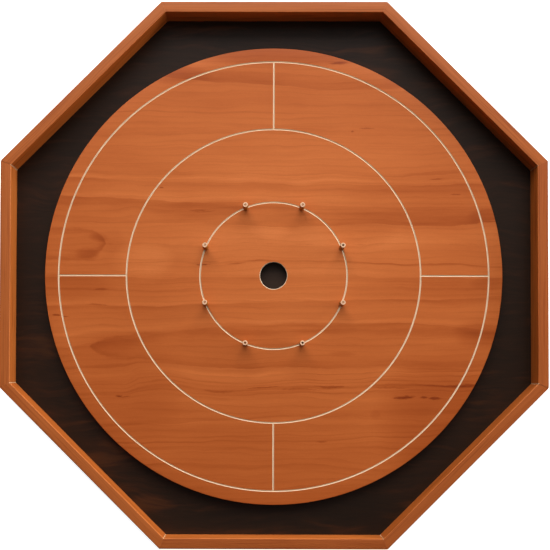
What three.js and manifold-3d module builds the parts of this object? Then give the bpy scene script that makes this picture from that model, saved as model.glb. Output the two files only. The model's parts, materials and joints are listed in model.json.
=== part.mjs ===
// A crokinole board: a round wooden playing field on a dark octagonal base, walled by eight mitred rails.
// Eight rubber-sleeved posts stand on the field's innermost scoring line, round a hole in the middle.
// Millimetres, +Z up. The origin is on the table, under the middle of the board, and +Y runs towards the north rail.

import * as THREE from "three";
import { mergeVertices } from "three/addons/utils/BufferGeometryUtils.js";
import Module from "manifold-3d";

const wasm = await Module();
wasm.setup();

// ---------------------------------------------------------------- driving dimensions

const INCH = 25.4;
const SIDES = 8; // rails, corners and posts alike
const GAP = 0.3; // clearance left between neighbouring pieces
const OVERRUN = 1; // how far a cutter stands out of the wood
const CLOSE_GAP = 0.2; // clearance of the sleeves and screws round their pins and in their holes

const LINE_15_RADIUS = 4 * INCH; // the scoring line that the posts stand on
const LINE_10_RADIUS = 8 * INCH;
const LINE_5_RADIUS = 297;
const LINE_WIDTH = 2.2; // the scoring lines are V grooves, this wide at the surface
const LINE_DEPTH = 1.1;
const STRAIGHT_LINES = 4; // they join the two outer circles

const FIELD_RADIUS = 316;
const FIELD_THICKNESS = 0.5 * INCH;
const FIELD_EDGE_EASE = 0.8; // small bevel round the field's upper edge
const CENTRE_HOLE_RADIUS = 18.6;
const CENTRE_HOLE_BEVEL = 0.7;

const RAIL_INNER = 358.6; // from the centre to a rail's inner face
const RAIL_THICKNESS = 14.3;
const RAIL_ABOVE_DITCH = 35;
const RAIL_LIP = 3; // how far the rails reach below the base panel
const RAIL_ROUNDING = 0.7; // radius of the rails' upper edges
const RAIL_EASE = 0.8; // bevel along the rails' lower edges
const GROOVE_DEPTH = 5; // the groove in each rail that holds the base panel

const BASE_THICKNESS = 6;
const BASE_PILOT_STOP = 0.5; // wood left above the foot screws' pilot holes

const SPLINE_THICKNESS = 3; // a hidden key across each mitre
const SPLINE_WIDTH = 12;
const SPLINE_HEIGHT = 20;

const POST_HEIGHT = INCH; // from the field to the top of a sleeve
const SLEEVE_RADIUS = 3.5;
const SLEEVE_EASE = 0.5;
const PIN_RADIUS = 1.25;
const PIN_BURIED = 9.5; // how deep a pin sits in the field
const PIN_RECESS = 0.6; // how far a pin's end lies below its sleeve's mouth
const DEEP_PIN_RECESS = 5; // the same, on the two pins that were driven deeper
const DEEP_PINS = [1, 7]; // their post numbers
const PIN_POINT = 0.4; // bevel at both ends of a pin

const FOOT_HEIGHT = 8;
const FOOT_RADIUS = 11; // where it meets the base panel
const FOOT_SOLE_RADIUS = 9.2;
const FOOT_SOLE_EASE = 0.6; // bevel round the sole
const FOOT_COUNT = 4;
const FOOT_CIRCLE = 300; // from the centre to each foot
const FOOT_RECESS_RADIUS = 4.6; // the well in a foot that its screw's head sits in
const FOOT_RECESS_DEPTH = 4.2;

const SCREW_RADIUS = 1.7; // shank of every screw
const SCREW_HEAD_RADIUS = 3.6;
const SCREW_TIP = 2.5; // length of the point
const FIELD_SCREW_CIRCLE = 230; // from the centre to each screw that holds the field down
const FIELD_SCREW_LENGTH = 14.5;
const FIELD_SCREW_HEAD_DEPTH = 2.4; // height of the countersunk head's cone
const FIELD_SCREW_SINK = 0.3; // how far the head lies below the base panel's underside
const FOOT_SCREW_HEAD_HEIGHT = 2.2;
const FOOT_SCREW_CROWN_RADIUS = 2.5; // the flat top of its head
const FOOT_SCREW_RIM = 1.1; // height of the upright part of its head
const FOOT_SCREW_LENGTH = 11; // with its head

const FIELD_SEGMENTS = 96; // flats round the field and its lines
const FOOT_SEGMENTS = 20;
const POST_SEGMENTS = 16;
const SCREW_SEGMENTS = 12;
const ROUNDING_SEGMENTS = 3;

// ---------------------------------------------------------------- heights and angles that follow

const BASE_BOTTOM = FOOT_HEIGHT;
const RAIL_BOTTOM = BASE_BOTTOM - RAIL_LIP;
const DITCH = BASE_BOTTOM + BASE_THICKNESS; // the base panel's upper face, where the field rests
const FIELD_TOP = DITCH + FIELD_THICKNESS;
const RAIL_TOP = DITCH + RAIL_ABOVE_DITCH;
const RAIL_OUTER = RAIL_INNER + RAIL_THICKNESS;
const BASE_FLAT = RAIL_INNER + GROOVE_DEPTH - GAP; // from the centre to each side of the base panel
const STEP = (2 * Math.PI) / SIDES;
const HALF_STEP = STEP / 2;

// ---------------------------------------------------------------- materials

const material = (color, roughness, metalness = 0) =>
  new THREE.MeshStandardMaterial({ color, roughness, metalness });
const fieldWood = material(0xc06a38, 0.4);
const railWood = material(0xab5c30, 0.42);
const ditchWood = material(0x2a1c16, 0.45);
const splineWood = material(0xd8b98c, 0.7);
const latex = material(0xd7a686, 0.55);
const pinSteel = material(0x7a7068, 0.35, 1);
const zincSteel = material(0xa9aaa6, 0.35, 1);
const footRubber = material(0x191919, 0.85);

// ---------------------------------------------------------------- helpers

/** A closed three.js geometry as a manifold-3d solid. */
function toSolid(geometry) {
  const loose = geometry.index ? geometry.toNonIndexed() : geometry.clone();
  loose.deleteAttribute("normal");
  loose.deleteAttribute("uv");
  const merged = mergeVertices(loose, 1e-4);
  return new wasm.Manifold(
    new wasm.Mesh({
      numProp: 3,
      vertProperties: merged.attributes.position.array,
      triVerts: new Uint32Array(merged.index.array),
    }),
  );
}

/** A manifold-3d solid as a three.js geometry. */
function toGeometry(solid) {
  const mesh = solid.getMesh();
  const geometry = new THREE.BufferGeometry();
  geometry.setAttribute("position", new THREE.BufferAttribute(mesh.vertProperties, mesh.numProp));
  geometry.setIndex(new THREE.BufferAttribute(mesh.triVerts, 1));
  geometry.computeVertexNormals();
  return geometry;
}

/** A geometry with each of the cutting geometries taken out of it. */
function cut(geometry, cutters) {
  const result = cutters.reduce((solid, cutter) => solid.subtract(toSolid(cutter)), toSolid(geometry));
  return toGeometry(result);
}

/** A solid of revolution about +Z, from [radius, height] pairs that run anticlockwise. */
function turned(profile, segments) {
  const points = profile.map(([radius, height]) => new THREE.Vector2(radius, height));
  return new THREE.LatheGeometry(points, segments).rotateX(Math.PI / 2);
}

/** A round cutter on +Z between two heights. */
function drill(radius, low, high, segments) {
  return turned([[0, low], [radius, low], [radius, high], [0, high]], segments);
}

/** The point at that distance from the centre, in that direction, at height z. */
const polar = (radius, angle, z = 0) =>
  new THREE.Vector3(radius * Math.cos(angle), radius * Math.sin(angle), z);

/** The same cutter or piece, moved to a point. */
const movedTo = (geometry, point) => geometry.clone().translate(point.x, point.y, point.z);

/** A named mesh at a point. */
function piece(name, geometry, finish, position = new THREE.Vector3()) {
  const mesh = new THREE.Mesh(geometry, finish);
  mesh.name = name;
  mesh.position.copy(position);
  return mesh;
}

const indices = (count) => [...Array(count).keys()];
const cornerAngle = (i) => HALF_STEP + i * STEP;
const postAngle = cornerAngle; // each post stands on the line from the centre to a corner
const footAngle = (i) => Math.PI / FOOT_COUNT + (i * 2 * Math.PI) / FOOT_COUNT;

// ---------------------------------------------------------------- playing field

/** The V of a circular scoring line, as profile points from its outer edge to its inner edge. */
const lineProfile = (radius) => [
  [radius + LINE_WIDTH / 2, FIELD_TOP],
  [radius, FIELD_TOP - LINE_DEPTH],
  [radius - LINE_WIDTH / 2, FIELD_TOP],
];

/** A V-shaped cutter for a straight scoring line that runs out along +X between the two outer circles. */
function straightLineCutter() {
  const halfWidth = (LINE_WIDTH / 2) * (1 + OVERRUN / LINE_DEPTH);
  const section = new THREE.Shape([
    new THREE.Vector2(-halfWidth, OVERRUN),
    new THREE.Vector2(0, -LINE_DEPTH),
    new THREE.Vector2(halfWidth, OVERRUN),
  ]);
  const length = LINE_5_RADIUS - LINE_10_RADIUS;
  return new THREE.ExtrudeGeometry(section, { depth: length, bevelEnabled: false })
    .rotateX(Math.PI / 2)
    .rotateZ(Math.PI / 2)
    .translate(LINE_10_RADIUS, 0, FIELD_TOP);
}

function playingField() {
  const blank = turned(
    [
      [CENTRE_HOLE_RADIUS, DITCH],
      [FIELD_RADIUS, DITCH],
      [FIELD_RADIUS, FIELD_TOP - FIELD_EDGE_EASE],
      [FIELD_RADIUS - FIELD_EDGE_EASE, FIELD_TOP],
      ...lineProfile(LINE_5_RADIUS),
      ...lineProfile(LINE_10_RADIUS),
      ...lineProfile(LINE_15_RADIUS),
      [CENTRE_HOLE_RADIUS + CENTRE_HOLE_BEVEL, FIELD_TOP],
      [CENTRE_HOLE_RADIUS, FIELD_TOP - CENTRE_HOLE_BEVEL],
      [CENTRE_HOLE_RADIUS, DITCH],
    ],
    FIELD_SEGMENTS,
  );
  const turn = (2 * Math.PI) / STRAIGHT_LINES;
  const straightLines = indices(STRAIGHT_LINES).map((i) => straightLineCutter().rotateZ(i * turn));
  const pinHole = drill(PIN_RADIUS + CLOSE_GAP, FIELD_TOP - PIN_BURIED - GAP, FIELD_TOP + OVERRUN, POST_SEGMENTS);
  const pinHoles = indices(SIDES).map((i) => movedTo(pinHole, polar(LINE_15_RADIUS, postAngle(i))));
  const pilotTop = BASE_BOTTOM + FIELD_SCREW_SINK + FIELD_SCREW_LENGTH + GAP;
  const pilot = drill(SCREW_RADIUS + CLOSE_GAP, DITCH - OVERRUN, pilotTop, SCREW_SEGMENTS);
  const pilots = indices(SIDES).map((i) => movedTo(pilot, polar(FIELD_SCREW_CIRCLE, cornerAngle(i))));
  return cut(blank, [...straightLines, ...pinHoles, ...pilots]);
}

// ---------------------------------------------------------------- base panel

function basePanel() {
  const corners = indices(SIDES).map((i) => {
    const corner = polar(BASE_FLAT / Math.cos(HALF_STEP), cornerAngle(i));
    return new THREE.Vector2(corner.x, corner.y);
  });
  const blank = new THREE.ExtrudeGeometry(new THREE.Shape(corners), {
    depth: BASE_THICKNESS,
    bevelEnabled: false,
  }).translate(0, 0, BASE_BOTTOM);
  const shank = SCREW_RADIUS + CLOSE_GAP;
  const head = SCREW_HEAD_RADIUS + CLOSE_GAP;
  const coneTop = BASE_BOTTOM + FIELD_SCREW_SINK + FIELD_SCREW_HEAD_DEPTH;
  const countersunk = turned(
    [
      [0, BASE_BOTTOM - OVERRUN],
      [head, BASE_BOTTOM - OVERRUN],
      [head, BASE_BOTTOM + FIELD_SCREW_SINK],
      [shank, coneTop + CLOSE_GAP],
      [shank, DITCH + OVERRUN],
      [0, DITCH + OVERRUN],
    ],
    SCREW_SEGMENTS,
  );
  const pilot = drill(shank, BASE_BOTTOM - OVERRUN, DITCH - BASE_PILOT_STOP, SCREW_SEGMENTS);
  return cut(blank, [
    ...indices(SIDES).map((i) => movedTo(countersunk, polar(FIELD_SCREW_CIRCLE, cornerAngle(i)))),
    ...indices(FOOT_COUNT).map((i) => movedTo(pilot, polar(FOOT_CIRCLE, footAngle(i)))),
  ]);
}

// ---------------------------------------------------------------- rails and their splines

/** A rail's section: x is the distance from the centre, y the height. */
function railSection() {
  const section = new THREE.Shape();
  section.moveTo(RAIL_INNER + RAIL_EASE, RAIL_BOTTOM);
  section.lineTo(RAIL_OUTER - RAIL_EASE, RAIL_BOTTOM);
  section.lineTo(RAIL_OUTER, RAIL_BOTTOM + RAIL_EASE);
  section.lineTo(RAIL_OUTER, RAIL_TOP - RAIL_ROUNDING);
  section.absarc(RAIL_OUTER - RAIL_ROUNDING, RAIL_TOP - RAIL_ROUNDING, RAIL_ROUNDING, 0, Math.PI / 2);
  section.lineTo(RAIL_INNER + RAIL_ROUNDING, RAIL_TOP);
  section.absarc(RAIL_INNER + RAIL_ROUNDING, RAIL_TOP - RAIL_ROUNDING, RAIL_ROUNDING, Math.PI / 2, Math.PI);
  section.lineTo(RAIL_INNER, DITCH + GAP);
  section.lineTo(RAIL_INNER + GROOVE_DEPTH, DITCH + GAP);
  section.lineTo(RAIL_INNER + GROOVE_DEPTH, BASE_BOTTOM - GAP);
  section.lineTo(RAIL_INNER, BASE_BOTTOM - GAP);
  section.lineTo(RAIL_INNER, RAIL_BOTTOM + RAIL_EASE);
  return section;
}

/** A box across a mitre, half a step round from a rail's middle: the spline, or its slot when it has a margin. */
function splineBox(side, margin) {
  const corner = polar((RAIL_INNER + RAIL_THICKNESS / 2) / Math.cos(HALF_STEP), side * HALF_STEP);
  const middle = (DITCH + RAIL_TOP) / 2;
  return new THREE.BoxGeometry(
    SPLINE_THICKNESS + 2 * margin,
    SPLINE_WIDTH + 2 * margin,
    SPLINE_HEIGHT + 2 * margin,
  )
    .rotateZ(side * HALF_STEP)
    .translate(corner.x, corner.y, middle);
}

/** The rail on the +X side, with mitred ends and a slot for a spline in each. */
function eastRail() {
  const prism = new THREE.ExtrudeGeometry(railSection(), {
    depth: 1,
    bevelEnabled: false,
    curveSegments: ROUNDING_SEGMENTS,
  });
  const shortening = GAP / 2 / Math.cos(HALF_STEP); // keeps half the gap to each mitre's plane
  const place = prism.getAttribute("position");
  for (let i = 0; i < place.count; i += 1) {
    const radius = place.getX(i);
    const end = 1 - 2 * place.getZ(i); // +1 or -1, the two ends
    const along = end * (radius * Math.tan(HALF_STEP) - shortening);
    place.setXYZ(i, radius, along, place.getY(i));
  }
  return cut(prism, [splineBox(1, GAP), splineBox(-1, GAP)]);
}

// ---------------------------------------------------------------- posts

function sleeve() {
  const bore = PIN_RADIUS + CLOSE_GAP;
  return turned(
    [
      [bore, 0],
      [SLEEVE_RADIUS, 0],
      [SLEEVE_RADIUS, POST_HEIGHT - SLEEVE_EASE],
      [SLEEVE_RADIUS - SLEEVE_EASE, POST_HEIGHT],
      [bore, POST_HEIGHT],
      [bore, 0],
    ],
    POST_SEGMENTS,
  );
}

/** A pin whose end lies that far below its sleeve's mouth, measured from the field's surface. */
function pin(recess) {
  const top = POST_HEIGHT - recess;
  return turned(
    [
      [0, -PIN_BURIED],
      [PIN_RADIUS - PIN_POINT, -PIN_BURIED],
      [PIN_RADIUS, -PIN_BURIED + PIN_POINT],
      [PIN_RADIUS, top - PIN_POINT],
      [PIN_RADIUS - PIN_POINT, top],
      [0, top],
    ],
    POST_SEGMENTS,
  );
}

// ---------------------------------------------------------------- screws and feet

/** A countersunk wood screw that points up, its head's flat face at height 0. */
function fieldScrew() {
  return turned(
    [
      [0, 0],
      [SCREW_HEAD_RADIUS, 0],
      [SCREW_RADIUS, FIELD_SCREW_HEAD_DEPTH],
      [SCREW_RADIUS, FIELD_SCREW_LENGTH - SCREW_TIP],
      [0, FIELD_SCREW_LENGTH],
    ],
    SCREW_SEGMENTS,
  );
}

/** A pan-head screw that points up, the underside of its head at height 0. */
function footScrew() {
  const shankLength = FOOT_SCREW_LENGTH - FOOT_SCREW_HEAD_HEIGHT;
  return turned(
    [
      [0, -FOOT_SCREW_HEAD_HEIGHT],
      [FOOT_SCREW_CROWN_RADIUS, -FOOT_SCREW_HEAD_HEIGHT],
      [SCREW_HEAD_RADIUS, -FOOT_SCREW_RIM],
      [SCREW_HEAD_RADIUS, 0],
      [SCREW_RADIUS, 0],
      [SCREW_RADIUS, shankLength - SCREW_TIP],
      [0, shankLength],
    ],
    SCREW_SEGMENTS,
  );
}

/** A rubber foot that stands on the table, with a well for its screw's head. */
function foot() {
  const bore = SCREW_RADIUS + CLOSE_GAP;
  return turned(
    [
      [FOOT_RECESS_RADIUS, 0],
      [FOOT_SOLE_RADIUS - FOOT_SOLE_EASE, 0],
      [FOOT_SOLE_RADIUS, FOOT_SOLE_EASE],
      [FOOT_RADIUS, FOOT_HEIGHT],
      [bore, FOOT_HEIGHT],
      [bore, FOOT_RECESS_DEPTH],
      [FOOT_RECESS_RADIUS, FOOT_RECESS_DEPTH],
      [FOOT_RECESS_RADIUS, 0],
    ],
    FOOT_SEGMENTS,
  );
}

// ---------------------------------------------------------------- the assembly

const RAIL_NAMES = [
  "rail_east",
  "rail_north_east",
  "rail_north",
  "rail_north_west",
  "rail_west",
  "rail_south_west",
  "rail_south",
  "rail_south_east",
];

const board = new THREE.Group();
board.add(piece("base_panel", basePanel(), ditchWood));
board.add(piece("playing_field", playingField(), fieldWood));

const railGeometry = eastRail();
const splineGeometry = splineBox(1, 0);
RAIL_NAMES.forEach((name, i) => {
  const turn = new THREE.Group();
  turn.rotation.z = i * STEP;
  turn.add(piece(name, railGeometry, railWood));
  turn.add(piece(`mitre_spline_${i + 1}`, splineGeometry, splineWood));
  board.add(turn);
});

const sleeveGeometry = sleeve();
const screwGeometry = fieldScrew();
indices(SIDES).forEach((i) => {
  const number = i + 1;
  const post = polar(LINE_15_RADIUS, postAngle(i), FIELD_TOP);
  const recess = DEEP_PINS.includes(number) ? DEEP_PIN_RECESS : PIN_RECESS;
  const screw = polar(FIELD_SCREW_CIRCLE, cornerAngle(i), BASE_BOTTOM + FIELD_SCREW_SINK);
  board.add(piece(`post_pin_${number}`, pin(recess), pinSteel, post));
  board.add(piece(`post_sleeve_${number}`, sleeveGeometry, latex, post));
  board.add(piece(`field_screw_${number}`, screwGeometry, zincSteel, screw));
});

const footGeometry = foot();
const footScrewGeometry = footScrew();
indices(FOOT_COUNT).forEach((i) => {
  const place = polar(FOOT_CIRCLE, footAngle(i));
  const screwPlace = place.clone().setZ(FOOT_RECESS_DEPTH - GAP);
  board.add(piece(`foot_${i + 1}`, footGeometry, footRubber, place));
  board.add(piece(`foot_screw_${i + 1}`, footScrewGeometry, zincSteel, screwPlace));
});

export default board;
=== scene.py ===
"""The visual model of a crokinole board: its smooth pieces, their materials, a camera and studio light.

Sizes and places follow the CAD model. Lengths are in metres, except where a name or a comment says mm.
"""

import json
import math

import bmesh
import bpy
from mathutils import Matrix, Vector

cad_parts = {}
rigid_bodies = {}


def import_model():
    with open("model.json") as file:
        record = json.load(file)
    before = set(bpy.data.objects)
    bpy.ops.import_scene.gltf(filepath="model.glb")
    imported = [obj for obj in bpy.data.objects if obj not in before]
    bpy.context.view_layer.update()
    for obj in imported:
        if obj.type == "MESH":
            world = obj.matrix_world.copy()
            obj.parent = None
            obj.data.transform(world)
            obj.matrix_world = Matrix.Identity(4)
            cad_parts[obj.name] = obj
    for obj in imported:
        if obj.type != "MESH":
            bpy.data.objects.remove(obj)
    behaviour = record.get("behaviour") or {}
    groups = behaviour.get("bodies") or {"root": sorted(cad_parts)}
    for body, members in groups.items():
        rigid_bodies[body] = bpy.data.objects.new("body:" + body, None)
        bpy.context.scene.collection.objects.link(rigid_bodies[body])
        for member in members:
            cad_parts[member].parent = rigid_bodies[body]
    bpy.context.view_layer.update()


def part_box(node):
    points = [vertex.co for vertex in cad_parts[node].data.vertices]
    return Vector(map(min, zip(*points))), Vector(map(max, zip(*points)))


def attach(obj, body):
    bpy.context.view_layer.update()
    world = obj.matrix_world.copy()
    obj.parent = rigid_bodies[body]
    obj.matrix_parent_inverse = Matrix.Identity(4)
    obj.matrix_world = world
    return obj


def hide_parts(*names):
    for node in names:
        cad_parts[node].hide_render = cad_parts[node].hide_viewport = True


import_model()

MM = 0.001
WAYS = ("east", "north_east", "north", "north_west", "west", "south_west", "south", "south_east")
RAILS = [f"rail_{way}" for way in WAYS]
SIDES = len(RAILS)
POSTS = range(1, SIDES + 1)
FEET = range(1, 5)
STEP = 2 * math.pi / SIDES
HALF_STEP = STEP / 2

# ------------------------------------------------------------------ sizes, from the CAD model's boxes


def node_box(name):
    """A CAD node's lowest and highest corners."""
    low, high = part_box(name)
    return Vector(low), Vector(high)


def node_centre(name):
    low, high = node_box(name)
    return (low + high) / 2


def plan_of(name):
    """A CAD node's middle, seen from above: at height 0."""
    middle = node_centre(name)
    return Vector((middle.x, middle.y, 0.0))


def seat_of(name):
    """Where a CAD node stands: the middle of its box's underside."""
    return plan_of(name) + Vector((0.0, 0.0, node_box(name)[0].z))


FIELD_LOW, FIELD_HIGH = node_box("playing_field")
FIELD_RADIUS = FIELD_HIGH.x
DITCH = FIELD_LOW.z
FIELD_TOP = FIELD_HIGH.z
BASE_LOW, BASE_HIGH = node_box("base_panel")
RAIL_INNER = node_box("rail_east")[0].x
RAIL_OUTER = node_box("rail_east")[1].x
RAIL_BOTTOM = node_box("rail_east")[0].z
RAIL_TOP = node_box("rail_east")[1].z
LINE_15_RADIUS = node_centre("post_sleeve_1").xy.length
LINE_10_RADIUS = 2 * LINE_15_RADIUS
SLEEVE_LOW, SLEEVE_HIGH = node_box("post_sleeve_1")
SLEEVE_RADIUS = (SLEEVE_HIGH.x - SLEEVE_LOW.x) / 2
PIN_LOW, PIN_HIGH = node_box("post_pin_2")
PIN_RADIUS = (PIN_HIGH.x - PIN_LOW.x) / 2
SCREW_LOW, SCREW_HIGH = node_box("field_screw_1")
SCREW_HEAD_RADIUS = (SCREW_HIGH.x - SCREW_LOW.x) / 2
FOOT_LOW, FOOT_HIGH = node_box("foot_1")
FOOT_RADIUS = (FOOT_HIGH.x - FOOT_LOW.x) / 2
FOOT_SCREW_LOW, FOOT_SCREW_HIGH = node_box("foot_screw_1")

# sizes that no box gives, the same as in the CAD model
LINE_5_RADIUS = 297 * MM
LINE_WIDTH = 2.2 * MM
LINE_DEPTH = 1.1 * MM
CENTRE_HOLE_RADIUS = 18.6 * MM
CENTRE_HOLE_BEVEL = 0.7 * MM
FIELD_EDGE_EASE = 0.8 * MM
RAIL_ROUNDING = 0.7 * MM
RAIL_EASE = 0.8 * MM
GROOVE_DEPTH = 5 * MM
BASE_PILOT_STOP = 0.5 * MM  # wood left above the foot screws' pilot holes
GAP = 0.3 * MM
CLEARANCE = 0.2 * MM
SCREW_RADIUS = 1.7 * MM
SCREW_CONE = 2.4 * MM
FOOT_SCREW_HEAD = 2.2 * MM
FOOT_SOLE_RADIUS = 9.2 * MM
FOOT_WELL_RADIUS = 4.6 * MM
FOOT_WELL_DEPTH = 4.2 * MM
SPLINE_SLOT = Vector((3.6, 12.6, 20.6)) * MM

# sizes that only the visual model has
TIGHT_MITRE = 0.06 * MM  # half of the gap at most corners
OPEN_MITRE = 0.25 * MM  # half of the gap at the two corners that have opened a little
OPEN_CORNERS = (3, 7)  # the corner after rail number 3, and the one after number 7
GLUE_HIGHLIGHT_STRIP = 0.55 * MM  # how wide the pale line down a corner shows on each rail: a glue line, brightened as a painted highlight
GLUE_HIGHLIGHT_CORNERS = (0, 3, 4, 5, 6, 7)  # the corners that show one, numbered by the rail before them: the ones the light falls on, so that its paleness is partly a painted highlight

# ------------------------------------------------------------------ mesh helpers


def new_piece(name, mesh, materials, slot, *replaced):
    """Adds a mesh to the scene as a piece of the board, in place of the CAD nodes named."""
    for material in materials:
        mesh.materials.append(material)
    piece = bpy.data.objects.new(name, mesh)
    bpy.context.scene.collection.objects.link(piece)
    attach(piece, "root")
    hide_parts(*replaced)


def stand_pieces(name, mesh, materials, slot, node, numbers):
    """Stands a copy of a mesh in place of each numbered CAD node of one kind."""
    for i in numbers:
        copy = moved(mesh, at(seat_of(f"{node}_{i}")))
        new_piece(f"{name}_{i}", copy, materials, slot, f"{node}_{i}")


def mesh_of(name, points, faces):
    mesh = bpy.data.meshes.new(name)
    mesh.from_pydata([tuple(p) for p in points], [], faces)
    mesh.update()
    return mesh


def grid_mesh(name, rows, closed_loop=False):
    """A closed surface through equal rings of points.

    Its two ends are closed with flat faces, or, as a closed loop, the last ring joins the first.
    """
    width = len(rows[0])
    points = [p for row in rows for p in row]
    faces = []
    count = len(rows) if closed_loop else len(rows) - 1
    for j in range(count):
        k = (j + 1) % len(rows)
        for i in range(width):
            n = (i + 1) % width
            faces.append((j * width + i, j * width + n, k * width + n, k * width + i))
    if not closed_loop:
        faces.append(tuple(reversed(range(width))))
        faces.append(tuple((len(rows) - 1) * width + i for i in range(width)))
    return mesh_of(name, points, faces)


def angles_of(segments):
    """Evenly spaced angles, once round."""
    return [2 * math.pi * i / segments for i in range(segments)]


def rings_of(profile, segments):
    """A ring of points round +Z for each (radius, height) pair."""
    angles = angles_of(segments)
    return [[(r * math.cos(a), r * math.sin(a), z) for a in angles] for r, z in profile]


def turned(name, profile, segments, closed_loop=False):
    """A solid of revolution about +Z, from (radius, height) pairs that go up its outside."""
    return grid_mesh(name, rings_of(profile, segments), closed_loop)


def arc(centre, radius, start, end, steps):
    """Points (x, y) on an arc, with the angles in degrees."""
    points = []
    for i in range(steps + 1):
        a = math.radians(start + (end - start) * i / steps)
        points.append((centre[0] + radius * math.cos(a), centre[1] + radius * math.sin(a)))
    return points


def block(name, size):
    """A box of that size round the origin."""
    box = bmesh.new()
    bmesh.ops.create_cube(box, size=1.0)
    bmesh.ops.scale(box, vec=size, verts=box.verts)
    mesh = bpy.data.meshes.new(name)
    box.to_mesh(mesh)
    box.free()
    return mesh


def moved(mesh, matrix):
    """A copy of a mesh, moved."""
    copy = mesh.copy()
    copy.transform(matrix)
    return copy


def at(point):
    """The move that takes the origin to a point."""
    return Matrix.Translation(Vector(point))


def polar(radius, angle, z=0.0):
    """The point at that distance from the z axis, in that direction."""
    return Vector((radius * math.cos(angle), radius * math.sin(angle), z))


def cut(mesh, cutters):
    """A mesh with each cutter taken out of it."""
    body = bpy.data.objects.new("body", mesh)
    bpy.context.scene.collection.objects.link(body)
    tools = bpy.data.collections.new("cutters")
    for cutter in cutters:
        tools.objects.link(bpy.data.objects.new("cutter", cutter))
    modifier = body.modifiers.new("cut", "BOOLEAN")
    modifier.operation = "DIFFERENCE"
    modifier.solver = "EXACT"
    modifier.operand_type = "COLLECTION"
    modifier.collection = tools
    bpy.context.scene.collection.children.link(tools)
    graph = bpy.context.evaluated_depsgraph_get()
    result = bpy.data.meshes.new_from_object(body.evaluated_get(graph))
    for tool in list(tools.objects):
        bpy.data.objects.remove(tool)
    bpy.data.collections.remove(tools)
    bpy.data.objects.remove(body)
    result.materials.clear()
    return result


def smooth(mesh, degrees=35):
    """Smooth shading, with edges sharper than that angle kept sharp."""
    mesh.shade_smooth()
    mesh.set_sharp_from_angle(angle=math.radians(degrees))
    return mesh


def set_grain(mesh, offset, tones):
    """Stores where each point of a rail lies in its own wood, and how dark the wood is there.

    The place is along the grain, across it and up. The tones are the darkness on the rail's top,
    on its inner face and on the edge between them: painted light and shade, and on the edge a painted
    highlight. The outer top edges take painted shade.
    """
    top, inner, edge = tones
    rounding = EDGE_SHARE * RAIL_ROUNDING
    places = [Vector((v.co.y, v.co.x, v.co.z)) + offset for v in mesh.vertices]
    tone_here = []
    for v in mesh.vertices:
        rounded = v.co.z > RAIL_TOP - RAIL_ROUNDING
        if v.co.x < RAIL_INNER + ON_FACE:
            tone_here.append(inner)
        elif rounded and v.co.x < RAIL_INNER + rounding:
            tone_here.append(edge)
        elif rounded and v.co.x > RAIL_OUTER - rounding:
            tone_here.append(top + OUTER_EDGE_TONE)
        else:
            tone_here.append(top)
    grain = mesh.attributes.new("grain", "FLOAT_VECTOR", "POINT")
    grain.data.foreach_set("vector", [number for place in places for number in place])
    attribute = mesh.attributes.new("tone", "FLOAT", "POINT")
    attribute.data.foreach_set("value", tone_here)


# ------------------------------------------------------------------ shader node helpers


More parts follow.
